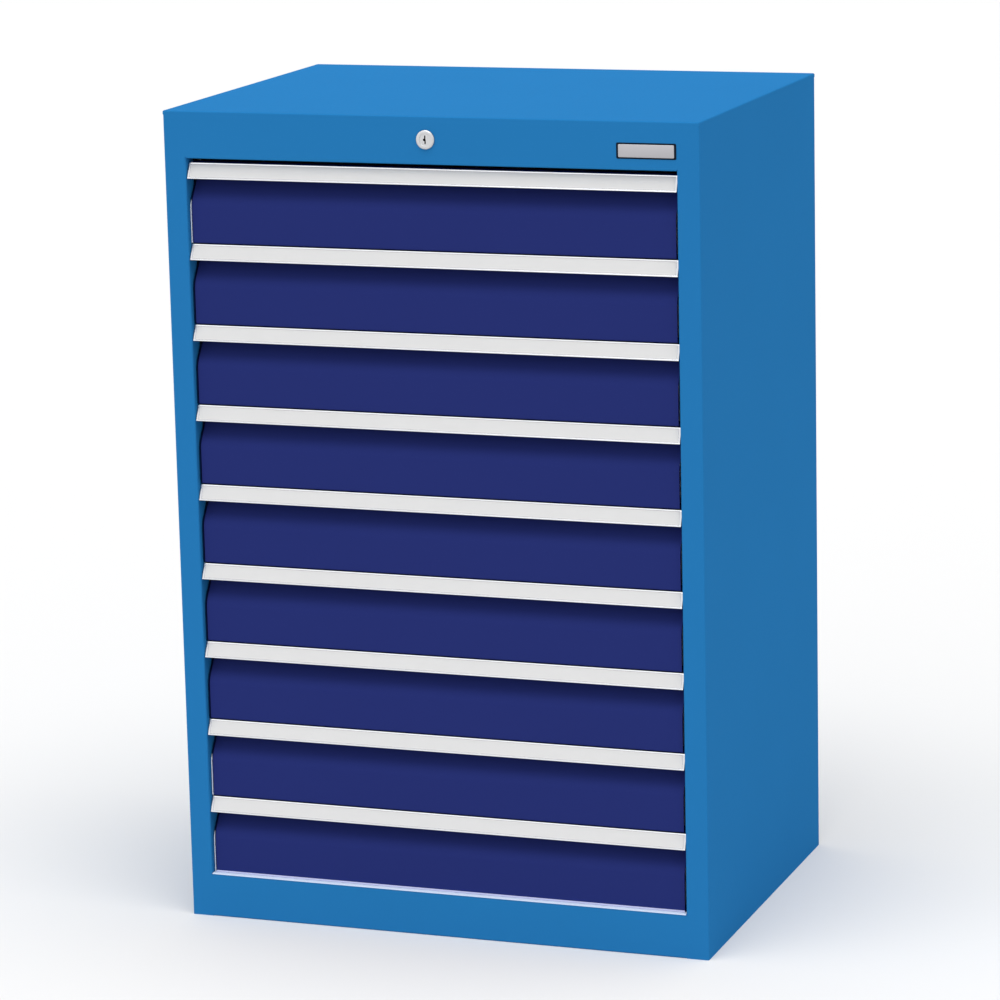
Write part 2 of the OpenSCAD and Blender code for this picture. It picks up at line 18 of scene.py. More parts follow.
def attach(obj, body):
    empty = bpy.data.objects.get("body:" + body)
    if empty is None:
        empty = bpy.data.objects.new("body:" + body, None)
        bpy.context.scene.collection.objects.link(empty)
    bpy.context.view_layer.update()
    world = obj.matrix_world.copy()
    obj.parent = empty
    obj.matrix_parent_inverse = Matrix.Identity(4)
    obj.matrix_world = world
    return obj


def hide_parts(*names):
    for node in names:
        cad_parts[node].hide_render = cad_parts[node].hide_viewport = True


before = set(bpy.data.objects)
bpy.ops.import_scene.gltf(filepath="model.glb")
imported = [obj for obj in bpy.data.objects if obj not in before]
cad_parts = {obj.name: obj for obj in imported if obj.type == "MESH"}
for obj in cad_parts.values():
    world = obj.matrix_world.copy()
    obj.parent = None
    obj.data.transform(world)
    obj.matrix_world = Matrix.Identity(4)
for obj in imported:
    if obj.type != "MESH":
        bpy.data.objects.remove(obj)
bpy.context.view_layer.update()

MM = 0.001
LOWEST_DRAWER = 56.5  # underside of the lowest drawer
DRAWER_PITCH = 100.0  # height from one drawer to the next
RAIL_Y = -250.0  # face of the top rail
LOCK_Z = 991.0  # height of the lock's axis
NIGHT_BLUE_HEX = "#273170"  # fronts, and underside of the grip strips
STATIONS = 9  # outlines along a straight bar
SAME_MM = 1e-4  # points closer than this are one point
LEAST_RADIUS = 0.05  # smallest radius of a rimmed plate's corners
NOISE_SPAN = (0.25, 0.75)  # a noise pattern mostly lies between these values
Piece = bpy.types.Object
Tree = bpy.types.NodeTree
Node = bpy.types.Node
Socket = bpy.types.NodeSocket
log = logging.getLogger("drawer_cabinet")


class Cheeks(Enum):
    """How the cheeks beside a drawer front are finished."""

    DARK = "both dark"
    LEFT_PALE = "left one pale along its front edge"


class Sides(Enum):
    """Whether a path's last point runs on to its first."""

    OPEN = False
    CLOSED = True


# Outlines and surfaces


def unit(vectors: np.ndarray) -> np.ndarray:
    """Scales each row to length one and leaves empty rows empty."""
    length = np.linalg.norm(vectors, axis=-1, keepdims=True)
    return vectors / np.where(length > 0, length, 1)


def left(vectors: np.ndarray) -> np.ndarray:
    """Turns each plane vector a quarter turn to its left."""
    return np.stack([-vectors[..., 1], vectors[..., 0]], axis=-1)


def ways(points: np.ndarray, sides: Sides) -> tuple[np.ndarray, np.ndarray]:
    """Finds the directions into and out of every point of a path.

    Args:
        points: Corners of the path, one per row.
        sides: Whether the path closes on itself.

    Returns:
        The unit vectors into each point and out of it.
    """
    out = unit(np.roll(points, -1, axis=0) - points)
    into = np.roll(out, 1, axis=0)
    if sides is Sides.OPEN:
        out[-1] = out[-2]
        into[0] = out[0]
    return into, out


def rounded(
    corners: Sequence[Sequence[float]], radii: Sequence[float], sides: Sides, steps: int = 8
) -> np.ndarray:
    """Rounds the corners of a path by arcs.

    An arc starts r * tan(turn / 2) before its corner. Its middle lies r to the side that the path turns to,
    and the start is swung about that middle by equal shares of the turn.

    Args:
        corners: Corners of the path in its plane.
        radii: Radius of the arc at each corner, 0 for a sharp one.
        sides: Whether the path closes on itself.
        steps: Straight pieces in each arc.

    Returns:
        The points of the rounded path, without repeats.
    """
    points, radius = np.asarray(corners, float), np.asarray(radii, float)[:, None]
    into, out = ways(points, sides)
    turn = np.arctan2(np.sum(left(into) * out, axis=1), np.sum(into * out, axis=1))[:, None]
    start = points - into * radius * np.tan(np.abs(turn) / 2)
    middle = start + np.sign(turn) * radius * left(into)
    swing = turn * np.linspace(0, 1, steps + 1)[None, :]
    arm = (start - middle)[:, None, :]
    arcs = arm * np.cos(swing)[..., None] + left(arm) * np.sin(swing)[..., None] + middle[:, None, :]
    path = arcs.reshape(-1, 2)
    step = np.linalg.norm(path - np.roll(path, 1, axis=0), axis=1)
    fresh = step > SAME_MM
    fresh[0] = sides is Sides.OPEN or fresh[0]
    return path[fresh]


def sheet_outline(path: Sequence[Sequence[float]], radii: Sequence[float], thickness: float) -> np.ndarray:
    """Outlines a bent sheet: its outer face along the path, then its inner face back again.

    The inner path is the outer one moved to its left by the thickness, each corner along the half-angle line,
    with every bend's radius smaller or larger by the thickness.

    Args:
        path: Corners of the outer face.
        radii: Outer bend radius at each corner.
        thickness: Thickness of the sheet.

    Returns:
        The closed outline.
    """
    points = np.asarray(path, float)
    into, out = ways(points, Sides.OPEN)
    a, b = left(into), left(out)
    inner = points + thickness * (a + b) / (1 + np.sum(a * b, axis=1, keepdims=True))
    side = np.sign(np.sum(a * out, axis=1))
    bend = np.asarray(radii, float)
    inner_bend = np.where(bend > 0, np.maximum(bend - side * thickness, 0), 0)
    outside = rounded(points, bend, Sides.OPEN)
    return np.concatenate([outside, rounded(inner, inner_bend, Sides.OPEN)[::-1]])


def grid_faces(rows: int, columns: int, sides: Sides) -> np.ndarray:
    """Numbers the quads of a grid of points whose columns close on themselves.

    Args:
        rows: Points along the path.
        columns: Points around the profile.
        sides: Whether the last row joins the first.

    Returns:
        Four point numbers for each quad.
    """
    i = np.arange(rows if sides is Sides.CLOSED else rows - 1)[:, None]
    j = np.arange(columns)[None, :]
    beside, ahead = (j + 1) % columns, (i + 1) % rows
    corners = [i * columns + j, ahead * columns + j, ahead * columns + beside, i * columns + beside]
    return np.stack(np.broadcast_arrays(*corners), axis=-1).reshape(-1, 4)


def capped_faces(rows: int, columns: int) -> list[list[int]]:
    """Numbers the quads of a tube of points, and the faces that close its two ends.

    Args:
        rows: Rings of points along the tube.
        columns: Points around each ring.

    Returns:
        The point numbers of each face.
    """
    first = list(range(columns))
    last = [(rows - 1) * columns + k for k in first]
    return grid_faces(rows, columns, Sides.OPEN).tolist() + [first, last[::-1]]


def sum_volume(mesh: bpy.types.Mesh) -> float:
    """Adds the signed volumes under the triangles, which is negative for a mesh that is inside out."""
    mesh.calc_loop_triangles()
    corners = np.empty(len(mesh.loop_triangles) * 3, np.int32)
    mesh.loop_triangles.foreach_get("vertices", corners)
    places = np.empty(len(mesh.vertices) * 3, np.float32)
    mesh.vertices.foreach_get("co", places)
    triangle = places.reshape(-1, 3)[corners].reshape(-1, 3, 3)
    return float(np.sum(triangle[:, 0] * np.cross(triangle[:, 1], triangle[:, 2])))


def make_piece(name: str, points: np.ndarray, faces: list[list[int]], smooth_deg: float = 32) -> Piece:
    """Makes an object at the origin from points in millimetres, with faces that point outwards.

    Args:
        name: Name of the piece.
        points: Points of the surface.
        faces: Point numbers of each face.
        smooth_deg: Edges flatter than this are shaded smooth.

    Returns:
        The new object.
    """
    mesh = bpy.data.meshes.new(name)
    mesh.from_pydata((points * MM).tolist(), [], faces)
    if sum_volume(mesh) < 0:
        mesh.flip_normals()
    mesh.shade_smooth()
    mesh.set_sharp_from_angle(angle=math.radians(smooth_deg))
    mesh.validate()
    piece = bpy.data.objects.new(name, mesh)
    bpy.context.scene.collection.objects.link(piece)
    return piece


def across(half: float) -> np.ndarray:
    """Returns even places from one end of a bar to the other."""
    return np.linspace(-half, half, STATIONS)


def swept_bar(name: str, outline: np.ndarray, places: np.ndarray) -> Piece:
    """Carries a closed outline in depth and height along the X axis, and closes both ends.

    Args:
        name: Name of the piece.
        outline: Depth and height of the outline's points, or one such outline for each place.
        places: Where the outlines stand along the axis.

    Returns:
        The new object.
    """
    stations, count = len(places), outline.shape[-2]
    rings = np.broadcast_to(outline, (stations, count, 2))
    x = np.broadcast_to(places[:, None, None], (stations, count, 1))
    points = np.concatenate([x, rings], axis=2).reshape(-1, 3)
    return make_piece(name, points, capped_faces(stations, count))


def turned_ring(name: str, outline: np.ndarray, x: float, z: float, parts: int = 96) -> Piece:
    """Turns a closed outline about an axis along Y: radius r at angle a gives x + r cos a and z + r sin a.

    Args:
        name: Name of the piece.
        outline: Radius and depth of the outline's points.
        x: Place of the axis across the cabinet.
        z: Height of the axis.
        parts: Steps around the turn.

    Returns:
        The new object.
    """
    angle = np.linspace(0, 2 * math.pi, parts, endpoint=False)[:, None]
    radius, depth = outline[None, :, 0], np.broadcast_to(outline[:, 1], (parts, len(outline)))
    points = np.stack([x + radius * np.cos(angle), depth, z + radius * np.sin(angle)], axis=-1)
    faces = grid_faces(parts, len(outline), Sides.CLOSED)
    return make_piece(name, points.reshape(-1, 3), faces.tolist())


def rimmed_plate(
    name: str, centre: Sequence[float], size: Sequence[float], corner: float, rim: np.ndarray,
    steps: int = 8,
) -> Piece:
    """Carries a rim profile round a rectangle with round corners, and closes it front and back.

    The outline at each point of the rim is the rectangle drawn in by the rim's inset, with its corners'
    radius smaller by as much, at the rim's depth.

    Args:
        name: Name of the piece.
        centre: Middle of the plate across the cabinet and in height.
        size: Width and height of the plate.
        corner: Radius of the plate's corners.
        rim: Inset and depth of the rim's points, from the back edge to the middle of the front.
        steps: Straight pieces in each round corner.

    Returns:
        The new object.
    """
    quarter = np.array([[1, 1], [-1, 1], [-1, -1], [1, -1]], float)
    arc = np.linspace(0, math.pi / 2, steps + 1)
    swing = np.arange(len(quarter))[:, None] * math.pi / 2 + arc[None, :]
    ray = np.stack([np.cos(swing), np.sin(swing)], axis=-1)
    middle = quarter[:, None, :] * (np.asarray(size, float) / 2 - corner)
    inset = rim[:, 0][:, None, None, None]
    radius = np.maximum(corner - inset, LEAST_RADIUS)
    shrink = np.sign(middle)[None] * np.maximum(inset - corner, 0)
    loops = (middle[None] - shrink + ray[None] * radius).reshape(len(rim), -1, 2)
    count = loops.shape[1]
    depth = np.repeat(rim[:, 1], count)
    flat = loops.reshape(-1, 2)
    points = np.column_stack([flat[:, 0] + centre[0], depth, flat[:, 1] + centre[1]])
    return make_piece(name, points, capped_faces(len(rim), count))


# Finishes


def linear(hex_code: str, lift: float = 1.0) -> tuple[float, float, float, float]:
    """Turns an sRGB hex colour to linear values.

    Args:
        hex_code: Colour such as "#2777B4".
        lift: Factor on the linear values.

    Returns:
        Red, green, blue and an alpha of one.
    """
    share = np.array([int(hex_code[k:k + 2], 16) for k in (1, 3, 5)]) / 255
    values = np.where(share <= 0.04045, share / 12.92, ((share + 0.055) / 1.055) ** 2.4)
    red, green, blue = np.clip(values * lift, 0, 1)
    return float(red), float(green), float(blue), 1.0


def add_node(
    tree: Tree, kind: str, inputs: Mapping[str | int, object] | None = None, **settings: object
) -> Node:
    """Adds a node with its settings, values and links.

    Args:
        tree: Node tree of the material or the world.
        kind: Blender's name of the node type.
        inputs: Value, or socket to link, for each input by name or number.
        settings: Properties of the node.

    Returns:
        The new node.
    """
    node = tree.nodes.new(kind)
    for name, value in settings.items():
        setattr(node, name, value)
    for key, value in (inputs or {}).items():
        if isinstance(value, Socket):
            tree.links.new(value, node.inputs[key])
        else:
            node.inputs[key].default_value = value
    return node


@dataclass(frozen=True)
class Finish:
    """A surface of the cabinet: what it is made of and how it was made.

    Attributes:
        name: Name of the material.
        colour: sRGB hex colour.
        roughness: Mean roughness of the surface.
        tint: Share by which the colour is lighter and darker over the pattern.
        gloss: Amount by which the roughness rises and falls over the pattern.
    """

    name: str
    colour: str
    roughness: float
    tint: float = 0.02
    gloss: float = 0.04

    def material(self) -> bpy.types.Material:
        """Returns the finish as a material, which is made the first time that it is asked for."""
        made = bpy.data.materials.get(self.name)
        if made is not None:
            return made
        made = bpy.data.materials.new(self.name)
        made.use_nodes = True
        tree = made.node_tree
        tree.nodes.clear()
        shader = add_node(tree, "ShaderNodeBsdfPrincipled")
        add_node(tree, "ShaderNodeOutputMaterial", {"Surface": shader.outputs["BSDF"]})
        self.paint(tree, shader, add_node(tree, "ShaderNodeTexCoord").outputs["Object"])
        return made

    def paint(self, tree: Tree, shader: Node, place: Socket) -> None:
        """Sets the shader's sockets and adds the finish's patterns.

        Args:
            tree: Node tree of the material.
            shader: Its principled shader.
            place: Socket with the place on the object in metres.
        """
        raise NotImplementedError

    def vary(self, tree: Tree, shader: Node, colour_by: Socket, gloss_by: Socket, depth_mm: float) -> None:
        """Lets one pattern shift the colour, and another the roughness and the bump.

        Args:
            tree: Node tree of the material.
            shader: Its principled shader.
            colour_by: Pattern from 0 to 1 for the colour.
            gloss_by: Pattern from 0 to 1 for the roughness and the bump.
            depth_mm: Height of the bump in millimetres.
        """
        shades = {0: colour_by, 6: linear(self.colour, 1 - self.tint), 7: linear(self.colour, 1 + self.tint)}
        colour = add_node(tree, "ShaderNodeMix", shades, data_type="RGBA")
        low, high = NOISE_SPAN
        span = {
            "Value": gloss_by, "From Min": low, "From Max": high,
            "To Min": self.roughness - self.gloss, "To Max": self.roughness + self.gloss,
        }
        gloss = add_node(tree, "ShaderNodeMapRange", span)
        bump = add_node(tree, "ShaderNodeBump", {"Height": gloss_by, "Distance": depth_mm * MM})
        tree.links.new(colour.outputs[2], shader.inputs["Base Color"])
        tree.links.new(gloss.outputs["Result"], shader.inputs["Roughness"])
        tree.links.new(bump.outputs["Normal"], shader.inputs["Normal"])

    def stain(self, tree: Tree, shader: Node, share: Socket, hex_code: str) -> None:
        """Fades the surface's colour to another one.

        Args:
            tree: Node tree of the material.
            shader: Its principled shader, whose colour is already linked.
            share: Share of the other colour from 0 to 1.
            hex_code: The other colour.
        """
        clean = shader.inputs["Base Color"].links[0].from_socket
        stained = add_node(tree, "ShaderNodeMix", {0: share, 6: clean, 7: linear(hex_code)}, data_type="RGBA")
        tree.links.new(stained.outputs[2], shader.inputs["Base Color"])

    def dress(self, piece: Piece) -> None:
        """Puts the finish on a piece as its only material."""
        piece.data.materials.clear()
        piece.data.materials.append(self.material())


@dataclass(frozen=True)
class GrainedFinish(Finish):
    """Opaque surface with a fine grain and a colour that shifts slowly, as plastics and coats have.

    Attributes:
        specular: Specular level, where 0.5 is that of bare plastic.
        grain_mm: Width of a grain, drawn a few times wider than real so that it shows.
        grain_depth_mm: Height of a grain.
        grain_detail: Octaves of finer noise in the grain.
        cloud_mm: Width of a patch of the mottle.
    """

    specular: float = 0.3
    grain_mm: float = 0.8
    grain_depth_mm: float = 0.01
    grain_detail: float = 1.0
    cloud_mm: float = 35.0

    def paint(self, tree: Tree, shader: Node, place: Socket) -> None:
        """Adds a slow noise for the colour and a fine one for the grain."""
        slow = {"Vector": place, "Scale": 1 / (self.cloud_mm * MM)}
        cloud = add_node(tree, "ShaderNodeTexNoise", slow)
        fine = {"Vector": place, "Scale": 1 / (self.grain_mm * MM), "Detail": self.grain_detail}
        grain = add_node(tree, "ShaderNodeTexNoise", fine)
        shader.inputs["Specular IOR Level"].default_value = self.specular
        self.vary(tree, shader, cloud.outputs["Fac"], grain.outputs["Fac"], self.grain_depth_mm)


@dataclass(frozen=True)
class CastPlastic(GrainedFinish):
    """Plastic strip, or the black sheet of painted shadow round the badge, with a fine cast grain.

    The eye sees a flat, nearly matt colour with a faint mottle.
    """


@dataclass(frozen=True)
class PowderCoat(GrainedFinish):
    """Polyester powder, sprayed and baked on sheet steel.

    The eye sees one even, nearly matt colour. Its grain is a soft orange peel, which breaks up the faint
    sheen, and the colour shifts slowly where the coat is a little thicker. The specular level is below the
    0.5 of clear polyester, as the pigments dull the coat.
    """

    specular: float = 0.004
    grain_mm: float = 4.0
    grain_depth_mm: float = 0.012
    grain_detail: float = 1.5
    cloud_mm: float = 160.0


@dataclass(frozen=True)
class TrayCoat(PowderCoat):
    """Powder coat of a tray, whose cheeks beside the front get a dark navy of painted shade.

    The eye sees a pale tray when the drawer is open. When it is shut, the edge of a cheek is a thin dark line
    of painted shade beside the front, or a pale bluish white one on the left of some drawers.

    Attributes:
        cheeks: How the cheeks are finished.
        painted_gap_shade: sRGB hex colour of the painted shade on what stands in front of the plate.
        pale_edge: sRGB hex colour of the pale front edge of a left cheek.
        plate_mm: Depth of the front plate in the frame. The cheeks stand in front of it.
        edge_mm: Depths in the frame between which the pale colour comes in, towards the front edge.
    """

    cheeks: Cheeks = Cheeks.DARK
    # painted shade: dark navy for the shade in the gap between a cheek and the front
    painted_gap_shade: str = "#0C1E44"
    pale_edge: str = "#E8F0FF"
    plate_mm: float = -222.9
    edge_mm: tuple[float, float] = (-240.2, -242.4)

    def paint(self, tree: Tree, shader: Node, place: Socket) -> None:
        """Paints shade on what stands in front of the plate, and then a pale colour on the edge to the left
        of the middle.
        """
        super().paint(tree, shader, place)
        axes = add_node(tree, "ShaderNodeSeparateXYZ", {"Vector": place}).outputs
        # painted shade on everything in front of the front plate, the cheeks' edges among it
        ahead = add_node(tree, "ShaderNodeMath", {0: axes["Y"], 1: self.plate_mm * MM}, operation="LESS_THAN")
        self.stain(tree, shader, ahead.outputs[0], self.painted_gap_shade)
        if self.cheeks is Cheeks.LEFT_PALE:
            start, end = self.edge_mm
            fade = {"Value": axes["Y"], "From Min": start * MM, "From Max": end * MM}
            edge = add_node(tree, "ShaderNodeMapRange", fade)
            half = add_node(tree, "ShaderNodeMath", {0: axes["X"], 1: 0.0}, operation="LESS_THAN")
            both = {0: edge.outputs["Result"], 1: half.outputs[0]}
            share = add_node(tree, "ShaderNodeMath", both, operation="MULTIPLY")
            self.stain(tree, shader, share.outputs[0], self.pale_edge)


@dataclass(frozen=True)
class DrawnMetal(Finish):
    """Metal with fine lines across the cabinet, from an extrusion die or a brush, and clear anodised.

    The eye sees a pale satin grey with thin streaks along the piece, which stretch its reflections across.

    Attributes:
        line_mm: Distance from one line to the next, drawn wider than real so that it shows.
        streak_mm: Length of a line before it fades.
        line_depth_mm: Depth of a line.
    """

    line_mm: float = 0.7
    streak_mm: float = 120.0
    line_depth_mm: float = 0.003

    def paint(self, tree: Tree, shader: Node, place: Socket) -> None:
        """Stretches a noise along the lines."""
        pull = tuple(1 / (np.array([self.streak_mm, self.line_mm, self.line_mm]) * MM))
        stretched = add_node(tree, "ShaderNodeMapping", {"Vector": place, "Scale": pull})
        lines = add_node(tree, "ShaderNodeTexNoise", {"Vector": stretched.outputs["Vector"], "Scale": 1.0})
        shader.inputs["Metallic"].default_value = 1.0
        self.vary(tree, shader, lines.outputs["Fac"], lines.outputs["Fac"], self.line_depth_mm)


@dataclass(frozen=True)
class GripMetal(DrawnMetal):
    """Drawn aluminium of a grip strip, with a painted highlight along its upper edge and navy under its bead.

    The eye sees a bright line above the label, which is painted highlight, and the front's colour under the
    bead.

    Attributes:
        painted_highlight: sRGB hex colour of the painted highlight along the upper edge.
        painted_highlight_z: Heights in the drawer between which the painted highlight comes in.
        under: sRGB hex colour of the underside.
        under_z: Heights in the drawer between which the underside's colour comes in.
    """

    # painted highlight: a pale line along the upper edge, which lies in the shade of the drawer above
    painted_highlight: str = "#D0D2D6"
    painted_highlight_z: tuple[float, float] = (96.9, 97.1)
    under: str = NIGHT_BLUE_HEX
    under_z: tuple[float, float] = (79.6, 79.5)

    def paint(self, tree: Tree, shader: Node, place: Socket) -> None:
        """Paints a highlight on the upper edge and stains the underside, by (height - lowest drawer) modulo
        pitch.
        """
        super().paint(tree, shader, place)
        axes = add_node(tree, "ShaderNodeSeparateXYZ", {"Vector": place}).outputs
        above = add_node(tree, "ShaderNodeMath", {0: axes["Z"], 1: LOWEST_DRAWER * MM}, operation="SUBTRACT")
        turns = {0: above.outputs[0], 1: DRAWER_PITCH * MM}
        height = add_node(tree, "ShaderNodeMath", turns, operation="FLOORED_MODULO").outputs[0]
        # the first band is painted highlight, the second the navy of the underside
        for colour, (start, end) in ((self.painted_highlight, self.painted_highlight_z), (self.under, self.under_z)):
            fade = {"Value": height, "From Min": start * MM, "From Max": end * MM}
            band = add_node(tree, "ShaderNodeMapRange", fade)
            self.stain(tree, shader, band.outputs["Result"], colour)


@dataclass(frozen=True)
class ZincPlate(Finish):
    """Steel with a bright zinc coat.

    The eye sees a cool grey metal with faint crystal cells of slightly different grey and a cloudy gloss.

    Attributes:
        cell_mm: Width of a zinc crystal.
        cloud_mm: Width of a patch of duller or brighter zinc.
        cell_depth_mm: Height of the bump from one cloud to the next.
    """

    cell_mm: float = 6.0
    cloud_mm: float = 22.0
    cell_depth_mm: float = 0.006

    def paint(self, tree: Tree, shader: Node, place: Socket) -> None:
        """Gives every cell its own shade, and the gloss a slower noise."""
        cells = add_node(tree, "ShaderNodeTexVoronoi", {"Vector": place, "Scale": 1 / (self.cell_mm * MM)})
        shade = add_node(tree, "ShaderNodeSeparateColor", {"Color": cells.outputs["Color"]})
        cloud = add_node(tree, "ShaderNodeTexNoise", {"Vector": place, "Scale": 1 / (self.cloud_mm * MM)})
        shader.inputs["Metallic"].default_value = 1.0
        self.vary(tree, shader, shade.outputs["Red"], cloud.outputs["Fac"], self.cell_depth_mm)


@dataclass(frozen=True)
class TurnedNickel(Finish):
    """Brass turned on a lathe and nickel plated.

    The eye sees a silver face with very fine rings about the lock's axis, which draw its highlights out.

    Attributes:
        axis_mm: Point that the lock's axis runs through, along the depth of the cabinet.
        ring_mm: Distance from one ring to the next, drawn wider than real so that it shows.
        ring_depth_mm: Depth of a ring.
        waver: How much the rings waver.
    """

    axis_mm: tuple[float, float, float] = (0.0, 0.0, LOCK_Z)
    ring_mm: float = 0.45
    ring_depth_mm: float = 0.004
    waver: float = 0.6

    def paint(self, tree: Tree, shader: Node, place: Socket) -> None:
        """Centres rings on the axis; Blender's ring wave repeats after pi / 10 units at scale 1."""
        shift = tuple(-np.array(self.axis_mm) * MM)
        centred = add_node(tree, "ShaderNodeMapping", {"Vector": place, "Location": shift})
        scale = math.pi / 10 / (self.ring_mm * MM)
        wave = {"Vector": centred.outputs["Vector"], "Scale": scale, "Distortion": self.waver}
        rings = add_node(tree, "ShaderNodeTexWave", wave, wave_type="RINGS", rings_direction="Y")
        shader.inputs["Metallic"].default_value = 1.0
        self.vary(tree, shader, rings.outputs["Fac"], rings.outputs["Fac"], self.ring_depth_mm)


@dataclass(frozen=True)
class KeyedNickel(TurnedNickel):
    """Nickel-plated plug whose keyway gets painted shade.

    The eye sees the silver face, and a keyway that is nearly black just behind it, painted for the shade deep
    inside.

    Attributes:
        face_mm: Depth of the plug's face in the frame.
        unshaded_mm: Depth behind the face down to which the nickel has no painted shade.
        dark_mm: Depth behind the face at which the keyway is fully dark.
        painted_keyway_shade: sRGB hex colour of the painted shade inside the keyway.
    """

    face_mm: float = -252.0
    unshaded_mm: float = 0.1
    dark_mm: float = 0.6
    # painted shade: near black inside the keyway
    painted_keyway_shade: str = "#0B0B0C"

    def paint(self, tree: Tree, shader: Node, place: Socket) -> None:
        """Fades the nickel to the painted shade's colour over the first bit of depth."""
        super().paint(tree, shader, place)
        depth = add_node(tree, "ShaderNodeSeparateXYZ", {"Vector": place})
        start, end = self.face_mm + self.unshaded_mm, self.face_mm + self.dark_mm
        fade = {"Value": depth.outputs["Y"], "From Min": start * MM, "From Max": end * MM}
        inside = add_node(tree, "ShaderNodeMapRange", fade)
        self.stain(tree, shader, inside.outputs["Result"], self.painted_keyway_shade)


LIGHT_BLUE = PowderCoat("powder_coat_light_blue", "#2677B4", 0.68)
NIGHT_BLUE = PowderCoat("powder_coat_night_blue", NIGHT_BLUE_HEX, 0.68)
TRAY_GREY = TrayCoat("powder_coat_light_grey", "#D6D8E0", 0.68, cloud_mm=220.0)
TRAY_PALE_CHEEK = replace(TRAY_GREY, name="powder_coat_light_grey_pale_cheek", cheeks=Cheeks.LEFT_PALE)
GRIP_ALUMINIUM = GripMetal("anodised_aluminium_extruded", "#B4B6BA", 0.24, gloss=0.06)
BADGE_ALUMINIUM = DrawnMetal(
    "anodised_aluminium_brushed", "#ACABAF", 0.40, gloss=0.07, line_mm=0.4, streak_mm=30.0
)
LABEL_PVC = CastPlastic("matt_white_pvc_strip", "#DADADA", 0.55)
GUARD_PVC = CastPlastic("pale_blue_pvc_edge_guard", "#D4E2F7", 0.5)
TRIM_PVC = CastPlastic("pale_lilac_pvc_trim", "#C9CCEE", 0.5)
# painted shadow: black sheet whose rim shows as a dark border round the badge
PAINTED_SHADOW_BLACK = CastPlastic("black_painted_shadow_sheet", "#0E1A28", 0.8, specular=0.1)
BRIGHT_ZINC = ZincPlate("bright_zinc_plated_steel", "#B4B8BC", 0.36, tint=0.06)
LOCK_ZINC = ZincPlate("zinc_plated_lock_steel", "#9A9EA2", 0.40, tint=0.05, cell_mm=3.0)
LOCK_NICKEL = TurnedNickel("turned_nickel_plate", "#C2C3C5", 0.36, gloss=0.05)
# plug with painted shade inside its keyway
PLUG_NICKEL = KeyedNickel(
    "turned_nickel_plate_painted_keyway_shade", LOCK_NICKEL.colour, LOCK_NICKEL.roughness, gloss=LOCK_NICKEL.gloss
)
FLOOR_WHITE = CastPlastic(
    "matt_white_studio_board", "#E7E7E7", 0.9, specular=0.0, tint=0.004, cloud_mm=900.0
)


# Sub-assemblies


def settle(piece: Piece, finish: Finish, body: str, slot: str, *nodes: str) -> Piece:
    """Dresses a new piece, sets it on a body and lets it stand for CAD nodes.

    Args:
        piece: The new piece.
        finish: Its finish.
        body: Body that carries it.
        slot: Material slot of the record that it belongs to. Not used.
        nodes: CAD nodes that it stands for.

    Returns:
        The same piece.
    """
    finish.dress(piece)
    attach(piece, body)
    if nodes:
        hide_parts(*nodes)
    return piece


def dress_nodes(finish: Finish, *nodes: str) -> list[Piece]:
    """Puts a finish on CAD nodes that keep their shape.

    Args:
        finish: The finish.
        nodes: Names of the nodes.

    Returns:
        The nodes' objects.
    """
    objects = [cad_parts[node] for node in nodes]
    for piece in objects:
        finish.dress(piece)
    return objects


@dataclass
class Carcass:
    """Painted sheets, posts and rails, and the pale edge guard on the ledge of the bottom rail.

    Attributes:
        ledge_z: Height of the ledge.
        guard_half: Half the length of the guard.
        guard_front: Front of the guard's lip.
        guard_back: Back edge of the guard.
        guard_t: Thickness of the guard.
        guard_lip: How far the lip hangs below the ledge.
        guard_slope: Depth over which the inside of the lip runs back to the ledge.
        guard_rounds: Radii of the front edge, below and above.
    """

    ledge_z: float = 55.5
    guard_half: float = 311.5
    guard_front: float = -250.4
    guard_back: float = -230.0
    guard_t: float = 0.8
    guard_lip: float = 0.7
    guard_slope: float = 1.2
    guard_rounds: tuple[float, float] = (0.3, 0.5)

    def build_guard(self) -> Piece:
        """Sweeps the edge guard: a flat bar on the ledge, and a lip over the ledge's round front edge."""
        low, high = self.ledge_z - self.guard_lip, self.ledge_z + self.guard_t
        heel = self.guard_front + self.guard_t
        corners = [
            (self.guard_front, low), (heel, low), (heel + self.guard_slope, self.ledge_z),
            (self.guard_back, self.ledge_z), (self.guard_back, high), (self.guard_front, high),
        ]
        below, above = self.guard_rounds
        outline = rounded(corners, [below, 0, 0, 0, 0, above], Sides.CLOSED)
        guard = swept_bar("ledge_edge_guard", outline, across(self.guard_half))
        return settle(guard, GUARD_PVC, "cabinet", "tray_paint")

    def build(self) -> list[Piece]:
        """Dresses the sheets, posts and rails, and adds the guard."""
        sheets = ["left_side_panel", "right_side_panel", "top_panel", "back_panel", "base_pan"]
        return [
            *dress_nodes(LIGHT_BLUE, *sheets),
            *dress_nodes(BRIGHT_ZINC, "runner_posts", "cabinet_rails"),
            self.build_guard(),
        ]


